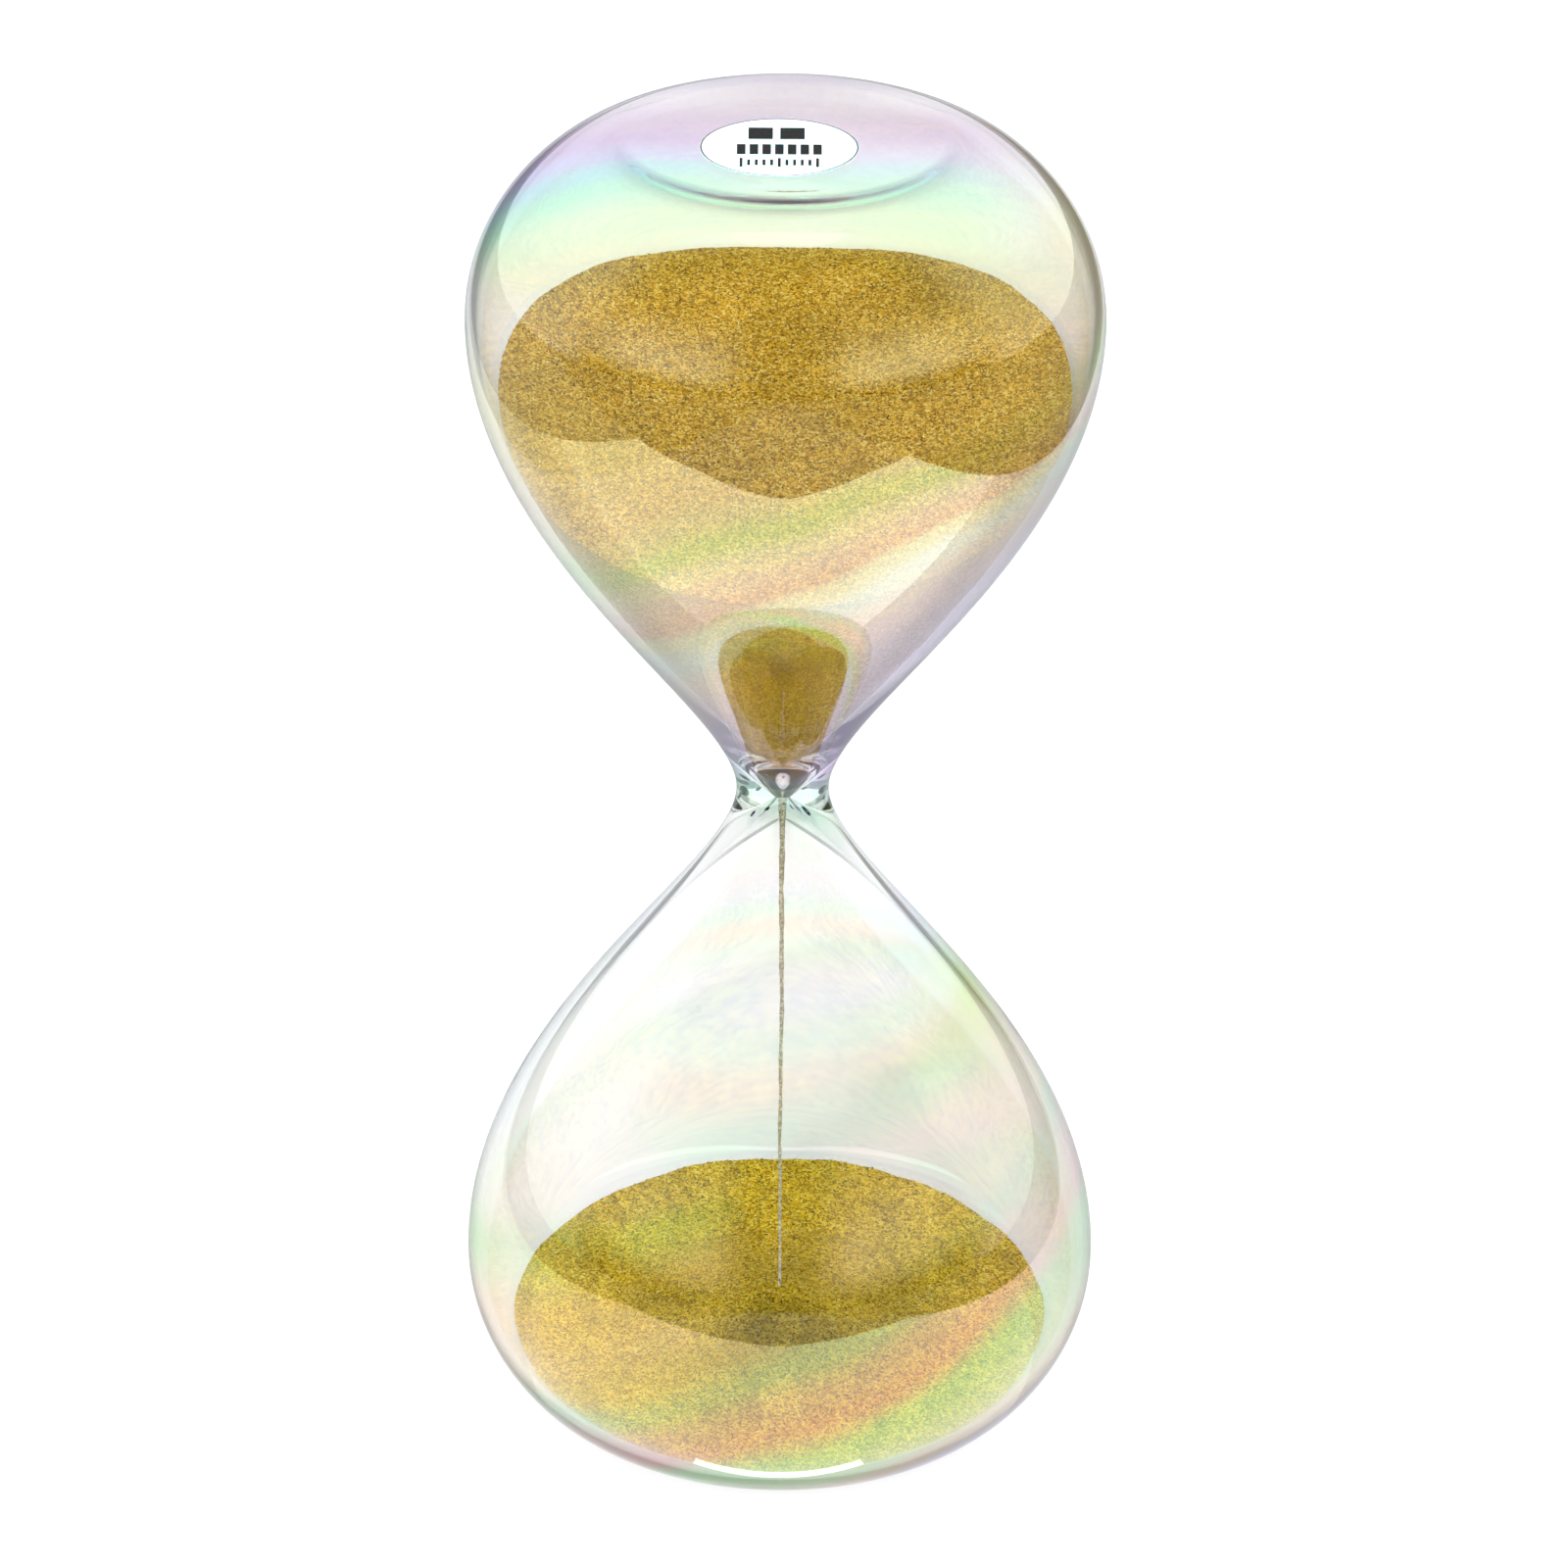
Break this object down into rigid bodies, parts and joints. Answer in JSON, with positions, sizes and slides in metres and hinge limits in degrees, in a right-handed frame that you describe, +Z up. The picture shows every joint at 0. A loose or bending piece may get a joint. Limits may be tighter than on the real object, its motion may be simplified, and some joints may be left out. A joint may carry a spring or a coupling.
{
  "type": "hourglass",
  "caption": "Frameless blown-glass sand timer: two bulbs joined at a fused waist, gold sand running as a thin thread, a round time sticker on top.",
  "frame": {"origin": "middle of the lower standing face, on the surface that the timer stands on", "axes": "+Z up the glass axis; -Y is the front, the side that the sand beds lean down to and the sticker reads from; +X to the right"},
  "size_m": [0.089, 0.089, 0.196],
  "materials": {
    "bulb_glass": "polished",
    "waist_glass": "polished",
    "stopper": "satin",
    "sealant": "satin",
    "sticker": "matte",
    "ink": "matte",
    "gold_sand": "gloss"
  },
  "bodies": {
    "root": {"upper_bulb": "bulb_glass", "lower_bulb": "bulb_glass", "waist": "waist_glass", "filling_plug": "stopper", "plug_seal": "sealant", "time_label": "sticker", "upper_sand": "gold_sand", "throat_sand": "gold_sand", "sand_stream": "gold_sand", "lower_sand": "gold_sand"}
  },
  "joints": []
}
